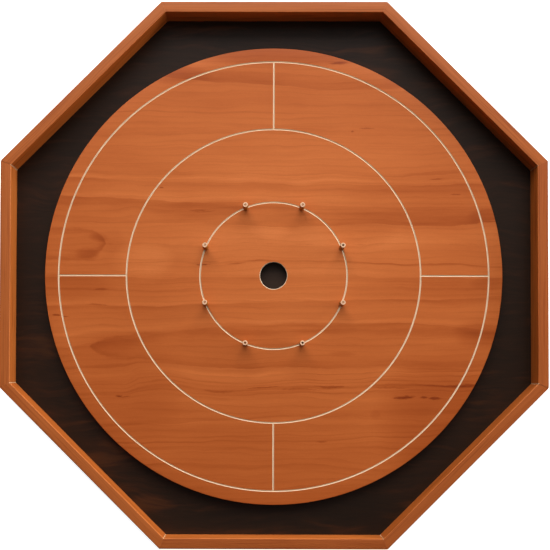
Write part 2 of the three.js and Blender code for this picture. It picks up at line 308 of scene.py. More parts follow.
class Shader:
    """Builds one material's nodes. Each call adds a node and returns its output."""

    def __init__(self, name):
        self.material = bpy.data.materials.new(name)
        self.material.use_nodes = True
        self.tree = self.material.node_tree
        self.bsdf = self.tree.nodes["Principled BSDF"]

    def node(self, kind, **settings):
        made = self.tree.nodes.new(kind)
        for key, value in settings.items():
            setattr(made, key, value)
        return made

    def feed(self, socket, value):
        """Links an output to a socket, or sets the socket's own value."""
        if isinstance(value, bpy.types.NodeSocket):
            self.tree.links.new(value, socket)
        else:
            socket.default_value = value

    def math(self, operation, *values):
        made = self.node("ShaderNodeMath", operation=operation)
        for socket, value in zip(made.inputs, values):
            self.feed(socket, value)
        return made.outputs[0]

    def times(self, first, second, plus=None):
        """The first value times the second, and plus added."""
        if plus is None:
            return self.math("MULTIPLY", first, second)
        return self.math("MULTIPLY_ADD", first, second, plus)

    def vector(self, x, y, z):
        made = self.node("ShaderNodeCombineXYZ")
        for socket, value in zip(made.inputs, (x, y, z)):
            self.feed(socket, value)
        return made.outputs[0]

    def dot(self, vector, other):
        made = self.node("ShaderNodeVectorMath", operation="DOT_PRODUCT")
        self.feed(made.inputs[0], vector)
        self.feed(made.inputs[1], other)
        return made.outputs["Value"]

    def place(self, attribute=None):
        """The point's x, y and z in mm: in the board's frame, or as the attribute gives it."""
        if attribute:
            place = self.node("ShaderNodeAttribute", attribute_name=attribute).outputs["Vector"]
        else:
            place = self.node("ShaderNodeTexCoord").outputs["Object"]
        parts = self.node("ShaderNodeSeparateXYZ")
        self.feed(parts.inputs[0], place)
        return [self.times(v, 1 / MM) for v in parts.outputs]

    def noise(self, x, y, z, cell, detail=3.0, rough=0.5):
        """Noise from -1 to 1, whose cells have those sizes along x, y and z."""
        scaled = [self.times(v, 1 / c) for v, c in zip((x, y, z), cell)]
        made = self.node("ShaderNodeTexNoise")
        self.feed(made.inputs["Vector"], self.vector(*scaled))
        made.inputs["Scale"].default_value = 1.0
        made.inputs["Detail"].default_value = detail
        made.inputs["Roughness"].default_value = rough
        return self.times(made.outputs["Fac"], 2.0, -1.0)

    def ramp(self, value, low, high, start=0.0, end=1.0, kind="SMOOTHSTEP"):
        """Goes from start to end as value goes from low to high."""
        made = self.node("ShaderNodeMapRange", interpolation_type=kind)
        for socket, v in zip(made.inputs, (value, low, high, start, end)):
            self.feed(socket, v)
        return made.outputs[0]

    def colours(self, value, stops):
        """A colour that changes with value, through (place, colour) stops."""
        made = self.node("ShaderNodeValToRGB")
        elements = made.color_ramp.elements
        while len(elements) < len(stops):
            elements.new(0.5)
        for element, (place, colour) in zip(elements, stops):
            element.position = place
            element.color = (*colour, 1.0)
        self.feed(made.inputs[0], value)
        return made.outputs["Color"]

    def mix(self, share, first, second):
        """The first colour, with that share of the second."""
        made = self.node("ShaderNodeMix", data_type="RGBA")
        self.feed(made.inputs["Factor"], share)
        self.feed(made.inputs[6], first)
        self.feed(made.inputs[7], second)
        return made.outputs[2]

    def bump(self, height, depth):
        """Bends the surface's normal as if it stood up by depth times height."""
        made = self.node("ShaderNodeBump")
        made.inputs["Distance"].default_value = depth
        self.feed(made.inputs["Height"], height)
        self.feed(self.bsdf.inputs["Normal"], made.outputs["Normal"])

    def set(self, **values):
        """Sets or links the main shader's inputs; an underscore in a name stands for a space."""
        for key, value in values.items():
            self.feed(self.bsdf.inputs[key.replace("_", " ")], value)


# ------------------------------------------------------------------ wood

TONES = 9  # colour stops in a wood's range of darkness
LIGHTEST = -0.5
DARKEST = 1.1
LACQUERED = 0.42  # the roughness of lacquered wood
LACQUERED_FIBRES = 0.012 * MM  # how deep the fibres show in it
BARE_FIBRES = 0.02 * MM  # how deep they show in bare wood
FIBRE_ROUGHNESS = 0.05  # how much rougher or smoother single fibres are
# Each rail's darkness on its top, on its inner face and along the edge between them, tuned rail by rail
# to how brightly each rail is lit: painted light and shade. The lighter inner faces are painted light,
# and the much lighter edges of the west to south-east rails are a painted highlight.
RAIL_TONES = [
    (0.05, -0.22, -0.20),
    (-0.05, -0.42, -0.20),
    (-0.09, -0.50, -0.20),
    (-0.09, -0.22, -0.20),
    (-0.05, -0.40, -0.62),
    (-0.06, -0.27, -0.60),
    (0.10, -0.32, -0.55),
    (0.07, -0.17, -0.60),
]
OUTER_EDGE_TONE = 0.5  # how much darker the rails' outer top edges are than their tops: painted shade, which dims the light caught by their rounding
EDGE_SHARE = 0.95  # how much of an edge's rounding has that edge's tone
ON_FACE = 0.01 * MM  # a point this near a rail's inner face is on it
PLIES = 9  # how many the field's edge shows
# Woods, each with the mean colour and how fast its red, green and blue fade as it gets darker.
CHERRY = ((0.560, 0.134, 0.0275), (1.0, 1.6, 2.5))
RAIL_CHERRY = ((0.430, 0.102, 0.0190), (1.0, 1.5, 2.1))
# The inner faces' cherry: the rails' red with less green and blue, painted shade that gives them the
# deeper orange of wood in shade.
SHADED_FACE_CHERRY = ((0.430, 0.094, 0.0130), (1.0, 1.5, 2.1))
RAW_WOOD = ((0.84, 0.630, 0.43), (1.0, 1.3, 1.6))
# The pale line down the corners that catch the light: dried glue, and a painted highlight.
GLUE_AND_HIGHLIGHT_WOOD = ((0.84, 0.520, 0.29), (1.0, 1.3, 1.6))
# The black stain's colours, from where the wood took least of it to where it took most.
STAIN = [
    (0.0, (0.088, 0.0290, 0.0080)),
    (0.25, (0.056, 0.0190, 0.0062)),
    (0.5, (0.0330, 0.0122, 0.0050)),
    (0.75, (0.0190, 0.0092, 0.0046)),
    (1.0, (0.0130, 0.0070, 0.0040)),
]
# On the floor of the centre hole the stain turns lighter and greyer: partly wear, where discs have
# rubbed it, and partly painted sheen, a reflection of the light above.
WEAR_AND_SHEEN_STAIN = (0.051, 0.032, 0.023)
WEAR_AND_SHEEN_SHARE = 0.6  # how far the stain has turned to that colour
WEAR_AND_SHEEN_TONE = -0.42  # how much lighter it is
WEAR_AND_SHEEN_MM = (19, 26)  # the radius where the change starts to fade, and where it ends
WEAR_AND_SHEEN_ABOVE_MM = 11.0  # nothing below this height is changed, so the panel's underside isn't
# A darker patch in the south, as an ellipse: (x, y, half length, half height, how much darker), in mm.
DARK_PATCH = (20, -330, 210, 40, 0.35)
# Where the panel took less stain and where more, and where painted light lightens it, as ellipses:
# (x, y, half length, half height, how much lighter), in mm.
STAIN_AND_GLOW_PATCHES = [
    (-328, -98, 44, 36, 0.34),
    (-335, -40, 34, 14, 0.16),
    (-332, 110, 40, 50, 0.08),
    (-290, 160, 50, 16, 0.14),
    # painted light: these two strips, close along the south-west rail, are the glow that lit rail
    # throws onto the floor
    (-228, -254, 54, 16, 0.46),
    (-172, -315, 46, 16, 0.46),
    (-245, -245, 60, 60, 0.14),
    (-100, -318, 70, 16, 0.14),
    # painted light: the glow of the lit south rail on the floor beside it
    (0, -355, 170, 12, 0.34),
    (190, -320, 60, 24, 0.12),
    (-97, 348, 90, 12, 0.22),
    (125, 294, 70, 36, 0.38),
    (222, 262, 44, 30, 0.14),
    (-200, 262, 60, 26, 0.12),
    (338, -60, 40, 150, -0.05),
    (270, -240, 70, 60, -0.12),
    (30, 335, 90, 9, -0.12),
]

# The field is two planks' width of veneer, with growth lines that run along x. Each line is
# (its height at the left, the middle and the right, its darkness at the left and at the right,
# how far it fades upwards, how far downwards), in mm. Left and right are LINE_REACH_MM from the middle.
SEAM_MM = -2.4
LINE_REACH_MM = 240
RING_SPACING_MM = 8.5  # between the faint growth rings that run between the lines
UPPER_LINES = [
    (312, 303, 296, 0.04, 0.08, 10, 8),
    (286, 264.5, 260, 0.22, 0.12, 20, 1.0),
    (252, 250, 247, 0.03, 0.04, 1.5, 3),
    (238, 239, 236, 0.02, 0.06, 8, 9),
    (227, 226, 218.5, 0.13, 0.08, 1.5, 1.5),
    (210, 207, 204, 0.03, 0.07, 5, 1.5),
    (194, 196, 194.5, 0.09, 0.05, 13, 1.0),
    (180, 180, 180, 0.07, 0.06, 1.4, 1.4),
    (170, 172, 170, 0.03, 0.02, 1.4, 1.4),
    (162, 162, 161, -0.04, -0.03, 1.5, 1.5),
    (157, 157, 157, 0.07, 0.0, 1.2, 1.5),
    (151, 152, 150, 0.02, 0.05, 1.4, 1.4),
    (141.5, 140, 140.5, 0.08, 0.13, 3.0, 1.3),
    (136.5, 133, 131, -0.11, -0.08, 4, 4),
    (133, 127, 125.5, 0.12, 0.14, 1.0, 11),
    (121, 119.5, 117, 0.03, 0.12, 5, 8),
    (112, 108, 104, -0.06, -0.04, 4, 4),
    (107.5, 98, 95, 0.24, 0.10, 1.0, 26),
    (92, 86, 88, 0.02, 0.12, 3, 14),
    (76, 69, 73, 0.11, 0.22, 14, 1.0),
    (52, 50, 54, -0.04, -0.09, 22, 18),
    (30, 33, 30, -0.05, 0.03, 5, 5),
    (18, 20, 15, 0.08, 0.26, 1.5, 3),
    (6, 5.5, 5, -0.05, -0.04, 5, 5),
]
LOWER_LINES = [
    (-2.4, -2.4, -2.4, 0.12, 0.14, 0.5, 13),
    (-14, -14, -12, 0.05, 0.06, 1.2, 1.5),
    (-20, -19.4, -18, 0.09, 0.06, 4, 4),
    (-39.5, -35, -30.5, -0.10, -0.07, 5, 3),
    (-42.5, -38, -31.5, 0.13, 0.12, 1.0, 13),
    (-54, -52, -50, 0.05, 0.02, 3, 8),
    (-77, -64, -65, -0.10, -0.09, 8, 5),
    (-94, -68, -71, 0.07, 0.15, 1.2, 26),
    (-100, -96, -98, 0.03, 0.05, 6, 6),
    (-128, -125, -129, 0.13, 0.05, 5, 1.2),
    (-138, -136, -134, -0.09, -0.06, 7, 6),
    (-141, -138, -131, 0.03, 0.14, 1.4, 1.4),
    (-150, -147, -138, 0.11, 0.15, 1.5, 1.5),
    (-157, -151, -146, 0.06, 0.15, 2, 1.2),
    (-163, -157, -153, 0.16, 0.28, 3.2, 3),
    (-166, -164.5, -160, 0.13, 0.16, 3, 1.2),
    (-176, -173, -170, -0.04, -0.05, 5, 5),
    (-190, -184, -184, 0.06, 0.02, 10, 9),
    (-208, -196, -189, 0.12, 0.07, 9, 1.0),
    (-206, -200, -196, -0.02, -0.06, 4, 6),
    (-213, -212, -204, 0.06, 0.05, 6, 6),
    (-226, -221, -212, 0.11, 0.10, 1.5, 1.8),
    (-233, -228, -219, 0.19, 0.16, 2.6, 1.4),
    (-242, -241, -240, 0.09, 0.07, 7, 1.0),
    (-262, -262, -272, 0.12, 0.10, 1.2, 8),
    (-280, -279, -283, 0.06, 0.04, 1.2, 5),
    (-290, -291, -296, 0.06, 0.04, 1.2, 6),
]
# Arch-shaped figures, where a ring's edge runs out of the surface:
# (x and y of the tip, which way it opens, half height, length to reach it, darkness,
# width of the dark rim), in mm.
ARCHES = [
    (-232, 44, -1, 25, 15, 0.34, 17),
    (-254, -100, 1, 27, 50, 0.26, 15),
]
ARCH_RAGGED_TIP = 0.12  # how ragged an arch's tip is, as a share of its length
ARCH_RAGGED_MM = 3.0  # how ragged its sides are
ARCH_BLUNTNESS = 0.7  # 0.5 would be a round tip, 1 a pointed one
ARCH_INSIDE = 0.2  # how much of the darkness is left inside the rim
ARCH_FADE = 0.45  # how much of it is lost far from the tip
# Where the growth lines rise over a small knot, in mm.
HUMP_X = (-208, -70)
HUMP_Y = (-190, -92)
HUMP_MM = 9.0
HUMP_RISEN = 0.18  # the share of its length after which it has risen
HUMP_FALLS = 0.3  # the share after which it falls again
# Gum streaks, as lens shapes: (x, y, half length, half height, darkness), in mm.
STREAKS = [
    (179, -168.7, 17, 2.0, 0.75),
    (208, -169.5, 7, 1.5, 0.55),
    (222, -170.5, 11, 1.7, 0.60),
    (-213, -167.5, 6, 1.8, 0.65),
    (-206, -169, 12, 1.3, 0.35),
    (-75, -160, 26, 1.9, 0.24),
    (-14, -154.5, 26, 1.4, 0.42),
    (34, -159, 34, 1.7, 0.24),
    (80, -154, 24, 2.2, 0.40),
    (160, -157, 34, 1.5, 0.22),
    (232, -153, 40, 1.6, 0.24),
    (264, -151, 30, 2.4, 0.34),
    (-104, 90, 16, 1.6, 0.26),
    (-94, 88, 14, 1.2, 0.18),
    (-98, 17.5, 11, 1.5, 0.75),
    (-88, 22, 14, 1.1, 0.22),
    (-52, 17.5, 16, 1.3, 0.26),
    (-20, 19.5, 26, 1.2, 0.22),
    (224.7, 134.8, 10, 1.2, 0.34),
    (252, 111, 9, 1.2, 0.34),
    (90, 296, 14, 2.6, 0.50),
    (-238, -20, 11, 1.7, 0.34),
    (-243, -42, 16, 1.6, 0.20),
    (-300, -54.5, 7, 1.1, 0.60),
    (-288, -56, 6, 1.0, 0.55),
    (-155.6, 123, 3.6, 1.5, 0.50),
    (109, 201, 2.6, 1.4, 0.45),
    (129, 204, 12, 1.1, 0.30),
    (66, -227, 9, 1.5, 0.30),
    (290, 73, 34, 2.0, 0.30),
]
STREAK_RAGGED = 0.9  # how ragged a streak's edge is, as a share of its half size
# Broad soft patches, as ellipses: (x, y, half length, half height, darkness), in mm.
PATCHES = [
    (141, -190, 9, 6.0, 0.08),
    (95, -107, 22, 5.0, 0.10),
    (2, -94, 34, 6.0, 0.08),
    (292, 80, 30, 15, 0.14),
    (286, -80, 44, 24, 0.16),
    (296, -10, 30, 12, 0.12),
    (-130, 279, 50, 16, 0.20),
    (-40, 276, 80, 14, 0.08),
    (-258, 29, 20, 9, 0.20),
    (-242, 52, 16, 9, 0.14),
    (-222, 46, 22, 22, 0.07),
    (-215, -93, 44, 13, 0.08),
    (-110, 90, 90, 16, 0.10),
    (-5, 63, 34, 14, -0.09),
    (-2, -138, 38, 8, -0.08),
    (150, 50, 120, 20, -0.05),
    (-90, -140, 100, 10, -0.05),
    # The two broadest patches are painted light: this one lightens the middle of the field like a pool
    # of light, and the next darkens its south half.
    (20, 70, 250, 190, -0.14),
    (-60, -330, 420, 190, 0.10),
    (20, 312, 180, 24, 0.24),
    (120, 62, 60, 30, 0.12),
    (200, 100, 140, 60, 0.09),
    (240, -200, 110, 110, 0.26),
    (-180, 20, 50, 32, -0.15),
    (-280, -15, 70, 26, 0.16),
    (-210, -160, 100, 110, 0.12),
    (220, -22, 150, 22, 0.10),
    (-200, 100, 90, 45, -0.09),
    (-140, 195, 90, 50, -0.05),
]
PLANK_STEP_MM = 40.0  # how far apart the two planks are cut from the same noise
WAVE_MM = 6.5  # how far the growth lines wander slowly up and down
RIPPLE_MM = 2.4  # how far they wander over a shorter length


def growth_lines(s, total, lines, x, y):
    """Adds each growth line's darkness to total. A line bends through its three heights."""
    here = s.vector(x, y, s.times(x, x))
    to_right = s.ramp(x, -LINE_REACH_MM, LINE_REACH_MM)
    for left, middle, right, dark_left, dark_right, fade_up, fade_down in lines:
        slope = (right - left) / 2 / LINE_REACH_MM
        bend = ((right + left) / 2 - middle) / LINE_REACH_MM**2
        height = s.dot(here, (-slope, 1.0, -bend))
        upper = s.ramp(height, middle, middle + fade_up, 1.0, 0.0)
        lower = s.ramp(height, middle - fade_down, middle, 0.0, 1.0)
        darkness = s.times(to_right, dark_right - dark_left, dark_left)
        total = s.times(s.times(upper, lower), darkness, total)
    return total


def arch(s, total, x, y, tip_x, tip_y, side, half, length, darkness, rim):
    """Adds an arch-shaped figure: darkest inside its edge, and fading inwards and away from its tip."""
    ragged = s.noise(x, y, 0.0, (13, 6, 1), 3.0)
    along = s.times(s.math("SUBTRACT", x, tip_x), side / length)
    along = s.times(ragged, ARCH_RAGGED_TIP, along)
    along = s.math("MAXIMUM", along, 0.0)
    rise = s.math("SUBTRACT", 1.0, s.math("EXPONENT", s.times(along, -1.0)))
    edge = s.times(s.math("POWER", rise, ARCH_BLUNTNESS), half)
    inside = s.math("SUBTRACT", edge, s.math("ABSOLUTE", s.math("SUBTRACT", y, tip_y)))
    inside = s.times(ragged, ARCH_RAGGED_MM, inside)
    outer = s.ramp(inside, -1.0, 4.0)
    inner = s.ramp(inside, 3.0, rim, 1.0, ARCH_INSIDE)
    fade = s.times(rise, -ARCH_FADE * darkness, darkness)
    return s.times(s.times(outer, inner), fade, total)


def hump(s, x, y):
    """How far the growth lines rise, from 0 to 1, to the right of the small knot."""
    left, right = HUMP_X
    low, high = HUMP_Y
    risen = left + HUMP_RISEN * (right - left)
    falls = left + HUMP_FALLS * (right - left)
    middle = (low + high) / 2
    along = s.times(s.ramp(x, left, risen), s.ramp(x, falls, right, 1.0, 0.0))
    across = s.times(s.ramp(y, low, middle), s.ramp(y, middle, high, 1.0, 0.0))
    return s.times(along, across)


def streak(s, total, x, y, ragged, centre_x, centre_y, half_length, half_height, darkness):
    """Adds a gum streak: a lens shape with a ragged edge."""
    across = s.times(x, 1 / half_length, -centre_x / half_length)
    up = s.times(y, 1 / half_height, -centre_y / half_height)
    away = s.times(across, across, s.math("ABSOLUTE", up))
    away = s.times(ragged, STREAK_RAGGED, away)
    return s.times(s.ramp(away, 0.1, 1.2, 1.0, 0.0), darkness, total)


def patch(s, total, x, y, centre_x, centre_y, half_length, half_height, darkness):
    """Adds a broad soft patch: an ellipse that fades outwards."""
    across = s.times(x, 1 / half_length, -centre_x / half_length)
    up = s.times(y, 1 / half_height, -centre_y / half_height)
    away = s.times(across, across, s.times(up, up))
    return s.times(s.ramp(away, 0.0, 1.0, 1.0, 0.0), darkness, total)


def tones_of(wood):
    """Colour stops for a wood, from its lightest tone to its darkest.

    Darkness is how far the wood's mean colour has faded, as a natural logarithm.
    """
    mean, fading = wood
    stops = []
    for i in range(TONES):
        place = i / (TONES - 1)
        darkness = LIGHTEST + place * (DARKEST - LIGHTEST)
        stops.append((place, [c * math.exp(-darkness * f) for c, f in zip(mean, fading)]))
    return stops


def finish_wood(s, darkness, stops, fibres, roughness, depth, gloss=0.5, wear_and_sheen=None):
    """Colours the wood by its darkness, and sets its sheen and its faint fibres.

    depth is how deep the fibres are, and wear_and_sheen, from 0 to 1, is how far the stain turns to the
    lighter, greyer colour of the centre hole: rubbed off, and painted sheen.
    """
    colour = s.colours(s.ramp(darkness, LIGHTEST, DARKEST, kind="LINEAR"), stops)
    if wear_and_sheen:
        colour = s.mix(s.times(wear_and_sheen, WEAR_AND_SHEEN_SHARE), colour, (*WEAR_AND_SHEEN_STAIN, 1.0))
    s.set(Base_Color=colour, Specular_IOR_Level=gloss)
    s.set(Roughness=s.times(fibres, FIBRE_ROUGHNESS, roughness))
    s.bump(fibres, depth)
    return s.material


def field_veneer():
    """Cherry veneer with its rings, arches and gum streaks, in two planks that meet along a seam."""
    s = Shader("cherry_field")
    x, y, _ = s.place()
    lower = s.math("LESS_THAN", y, SEAM_MM)
    plank = s.times(lower, PLANK_STEP_MM)
    wave = s.noise(x, y, plank, (110, 45, 10), 1.0)
    ripple = s.noise(x, y, plank, (34, 11, 10), 2.0)
    bent = s.times(wave, WAVE_MM, s.times(ripple, RIPPLE_MM, y))
    bent = s.times(hump(s, x, y), -HUMP_MM, bent)
    upper_sum = growth_lines(s, 0.0, UPPER_LINES, x, bent)
    lower_sum = growth_lines(s, 0.0, LOWER_LINES, x, bent)
    for figure in ARCHES:
        if figure[1] > SEAM_MM:
            upper_sum = arch(s, upper_sum, x, bent, *figure)
        else:
            lower_sum = arch(s, lower_sum, x, bent, *figure)
    mixed = s.node("ShaderNodeMix", data_type="FLOAT")
    s.feed(mixed.inputs["Factor"], lower)
    s.feed(mixed.inputs["A"], upper_sum)
    s.feed(mixed.inputs["B"], lower_sum)
    strength = s.times(s.noise(x, y, plank, (75, 10, 10), 2.0), 0.9, 0.85)
    total = s.times(mixed.outputs["Result"], strength)
    ragged = s.noise(x, y, plank, (6, 1.3, 10), 3.0)
    for mark in PATCHES:
        total = patch(s, total, x, bent, *mark)
    for mark in STREAKS:
        total = streak(s, total, x, bent, ragged, *mark)
    rings = s.times(bent, 1 / RING_SPACING_MM, s.noise(x, y, plank, (170, 34, 10), 2.0))
    rings = s.ramp(s.math("FRACT", rings), 0.5, 1.0)
    clearness = s.times(s.noise(x, y, plank, (90, 14, 10), 1.0), 0.10, 0.05)
    total = s.times(rings, s.math("MAXIMUM", clearness, 0.0), total)
    layers = [
        (s.noise(x, bent, plank, (120, 26, 10), 3.0), 0.085),
        (s.noise(x, bent, plank, (180, 6.0, 10), 3.0, 0.6), 0.04),
        (s.noise(x, bent, plank, (60, 1.4, 10), 2.0, 0.6), 0.045),
        (s.noise(x, y, plank, (3.2, 1.1, 10), 1.0), 0.04),
    ]
    for layer, depth in layers:
        total = s.times(layer, depth, total)
    fibres = s.noise(x, y, plank, (11, 0.8, 10), 3.0, 0.65)
    total = s.times(fibres, 0.06, total)
    return finish_wood(s, total, tones_of(CHERRY), fibres, LACQUERED, LACQUERED_FIBRES, gloss=0.17)


def rail_wood(name, cherry, gloss):
    """Straight-grained cherry, whose grain runs along each rail."""
    s = Shader(name)
    x, y, z = s.place("grain")
    wave = s.noise(x, y, z, (140, 30, 30), 1.0)
    bent = s.times(wave, 2.4, y)
    broad = s.noise(x, bent, z, (190, 4.5, 9), 3.0, 0.6)
    narrow = s.noise(x, bent, z, (55, 0.9, 2.0), 3.0, 0.65)
    pores = s.noise(x, bent, z, (130, 1.5, 6), 2.0, 0.6)
    fibres = s.noise(x, y, z, (12, 0.6, 1.0), 3.0, 0.65)
    total = s.times(broad, 0.11)
    total = s.times(narrow, 0.20, total)
    total = s.math("ADD", total, s.ramp(pores, 0.0, 0.4, -0.04, 0.24))
    total = s.times(fibres, 0.10, total)
    total = s.math("ADD", total, s.node("ShaderNodeAttribute", attribute_name="tone").outputs["Fac"])
    return finish_wood(s, total, tones_of(cherry), fibres, LACQUERED, LACQUERED_FIBRES, gloss)


def stained_wood():
    """The base panel's near-black stain: browner where the grain took less, lighter by the lit
    south-west and south rails as painted light, and lighter in the centre hole from wear and painted
    sheen.
    """
    s = Shader("black_stained_wood")
    x, y, z = s.place()
    wave = s.noise(x, y, z, (120, 60, 60), 2.0)
    bent = s.times(wave, 24.0, y)
    brown = s.noise(x, bent, z, (85, 13, 13), 4.0, 0.6)
    for mark in STAIN_AND_GLOW_PATCHES:
        brown = patch(s, brown, x, y, *mark)
    narrow = s.noise(x, bent, z, (60, 2.4, 3.0), 3.0, 0.6)
    fibres = s.noise(x, y, z, (12, 0.8, 0.8), 3.0, 0.65)
    total = s.ramp(brown, -0.05, 0.60, 0.66, 0.0)
    total = s.times(narrow, 0.36, total)
    total = s.times(fibres, 0.20, total)
    total = patch(s, total, x, y, *DARK_PATCH)
    radius = s.math("SQRT", s.times(x, x, s.times(y, y)))
    wear_and_sheen = s.ramp(radius, *WEAR_AND_SHEEN_MM, 1.0, 0.0)
    wear_and_sheen = s.times(wear_and_sheen, s.math("GREATER_THAN", z, WEAR_AND_SHEEN_ABOVE_MM))
    total = s.times(wear_and_sheen, WEAR_AND_SHEEN_TONE, total)
    return finish_wood(s, total, STAIN, fibres, 0.45, LACQUERED_FIBRES, gloss=0.14, wear_and_sheen=wear_and_sheen)


def raw_wood(name, wood):
    """Bare wood, in the scoring lines and on the hole's bevel, or a corner's pale line: dried glue, and
    a painted highlight.
    """
    s = Shader(name)
    x, y, z = s.place()
    fibres = s.noise(x, y, z, (14, 0.7, 0.7), 3.0, 0.6)
    total = s.times(fibres, 0.12)
    return finish_wood(s, total, tones_of(wood), fibres, 0.62, BARE_FIBRES, gloss=0.1)


def ply_edge():
    """The field's edge: stained plies, with thin dark glue lines between them."""
    s = Shader("stained_ply_edge")
    x, y, z = s.place()
    level = s.times(z, PLIES * MM / (FIELD_TOP - DITCH))
    odd = s.math("GREATER_THAN", s.math("FRACT", s.times(level, 0.5)), 0.5)
    glue = s.ramp(s.math("PINGPONG", s.math("FRACT", level), 0.5), 0.0, 0.12, 0.35, 0.0)
    around = s.times(s.math("ARCTAN2", y, x), FIELD_RADIUS / MM)
    fibres = s.noise(around, z, 0.0, (5.0, 0.4, 1.0), 3.0, 0.6)
    total = s.times(odd, 0.25, 0.1)
    total = s.math("ADD", total, glue)
    total = s.times(fibres, 0.12, total)
    return finish_wood(s, total, tones_of(RAIL_CHERRY), fibres, 0.50, BARE_FIBRES)


# ------------------------------------------------------------------ rubber and metal

DARK_RUBBER = (0.010, 0.010, 0.011)
DUSTY_RUBBER = (0.022, 0.022, 0.022)


def latex(name, darkest, lightest, gloss):
    """Natural latex tube: matt and a little uneven."""
    s = Shader(name)
    x, y, z = s.place()
    blotches = s.noise(x, y, z, (3.0, 3.0, 7.0), 3.0)
    grainy = s.noise(x, y, z, (0.35, 0.35, 0.5), 2.0)
    colour = s.colours(s.times(blotches, 0.5, 0.5), [(0.0, darkest), (1.0, lightest)])
    s.set(Base_Color=colour, Roughness=0.6, Specular_IOR_Level=gloss)
    s.bump(grainy, 0.03 * MM)
    return s.material


def steel(name, colour, roughness):
    """Turned steel, with faint rings round its axis."""
    s = Shader(name)
    x, y, z = s.place()
    marks = s.noise(x, y, z, (1.2, 1.2, 0.12), 2.0)
    s.set(Base_Color=(*colour, 1.0), Metallic=1.0)
    s.set(Roughness=s.times(marks, 0.08, roughness))
    s.bump(marks, 0.01 * MM)
    return s.material


def black_rubber():
    """Moulded black rubber with a fine matt skin."""
    s = Shader("black_rubber")
    x, y, z = s.place()
    skin = s.noise(x, y, z, (0.5, 0.5, 0.5), 3.0)
    dust = s.noise(x, y, z, (9, 9, 9), 3.0)
    colour = s.colours(s.times(dust, 0.5, 0.5), [(0.0, DARK_RUBBER), (1.0, DUSTY_RUBBER)])
    s.set(Base_Color=colour, Roughness=s.times(dust, 0.06, 0.72))
    s.bump(skin, 0.05 * MM)
    return s.material


def spline_wood():
    """Pale straight-grained hardwood."""
    s = Shader("spline_maple")
    x, y, z = s.place()
    fibres = s.noise(x, y, z, (0.8, 0.8, 16), 3.0, 0.6)
    total = s.times(fibres, 0.15, 0.1)
    return finish_wood(s, total, tones_of(RAW_WOOD), fibres, 0.65, BARE_FIBRES)


FIELD_VENEER = field_veneer()
RAIL_WOOD = rail_wood("cherry_rail", RAIL_CHERRY, 0.25)
SHADED_FACE_WOOD = rail_wood("cherry_rail_face", SHADED_FACE_CHERRY, 0.18)
STAINED_WOOD = stained_wood()
RAW = raw_wood("raw_birch", RAW_WOOD)
GLUE_AND_HIGHLIGHT_LINE = raw_wood("glue_line_and_painted_highlight", GLUE_AND_HIGHLIGHT_WOOD)
PLY_EDGE = ply_edge()
# The sleeves' sides: latex that has aged darker, made darker still as painted shade; their up-facing
# ends pale: the cut end, and painted light.
AGED_AND_SHADED_LATEX = latex("latex_tube_aged_and_painted_shade", (0.42, 0.150, 0.018), (0.66, 0.28, 0.050), 0.06)
CUT_AND_LIT_LATEX_END = latex("latex_cut_end_and_painted_light", (0.86, 0.49, 0.28), (0.96, 0.64, 0.43), 0.2)
PIN_STEEL = steel("brass_plated_steel", (0.80, 0.43, 0.24), 0.6)
# Painted shade: the dark brown of the pin ends that sit deep in their bores.
DEEP_SHADE_STEEL = steel("pin_end_painted_shade", (0.30, 0.075, 0.016), 0.7)
SCREW_STEEL = steel("zinc_plated_steel", (0.62, 0.62, 0.60), 0.32)
BLACK_RUBBER = black_rubber()
SPLINE_WOOD = spline_wood()

# ------------------------------------------------------------------ playing field

FIELD_SEGMENTS = 360
STEEP = 0.3  # a face whose normal is less upright than this is a side
LEVEL = 0.95  # a face whose normal is more upright than this is level
EDGE_ZONE = 5 * MM  # a face this near the field's edge belongs to it


def groove(radius):
    """A V-shaped scoring line's profile, from its outer edge to its inner edge."""
    half = LINE_WIDTH / 2
    return [(radius + half, FIELD_TOP), (radius, FIELD_TOP - LINE_DEPTH), (radius - half, FIELD_TOP)]


def straight_cutter(angle):
    """A V-shaped prism for a straight scoring line between the two outer circles."""
    above = 0.5 * MM
    half = (LINE_WIDTH / 2) * (1 + above / LINE_DEPTH)
    section = [(-half, above), (0.0, -LINE_DEPTH), (half, above)]
    rows = [[(r, y, FIELD_TOP + z) for y, z in section] for r in (LINE_10_RADIUS, LINE_5_RADIUS)]
    return moved(grid_mesh("cutter", rows), Matrix.Rotation(angle, 4, "Z"))


def drill(radius, low, high, plan, segments=24):
    """A cutter for a round hole at a place in the plan, between two heights."""
    return moved(turned("drill", [(radius, low), (radius, high)], segments), at(plan))


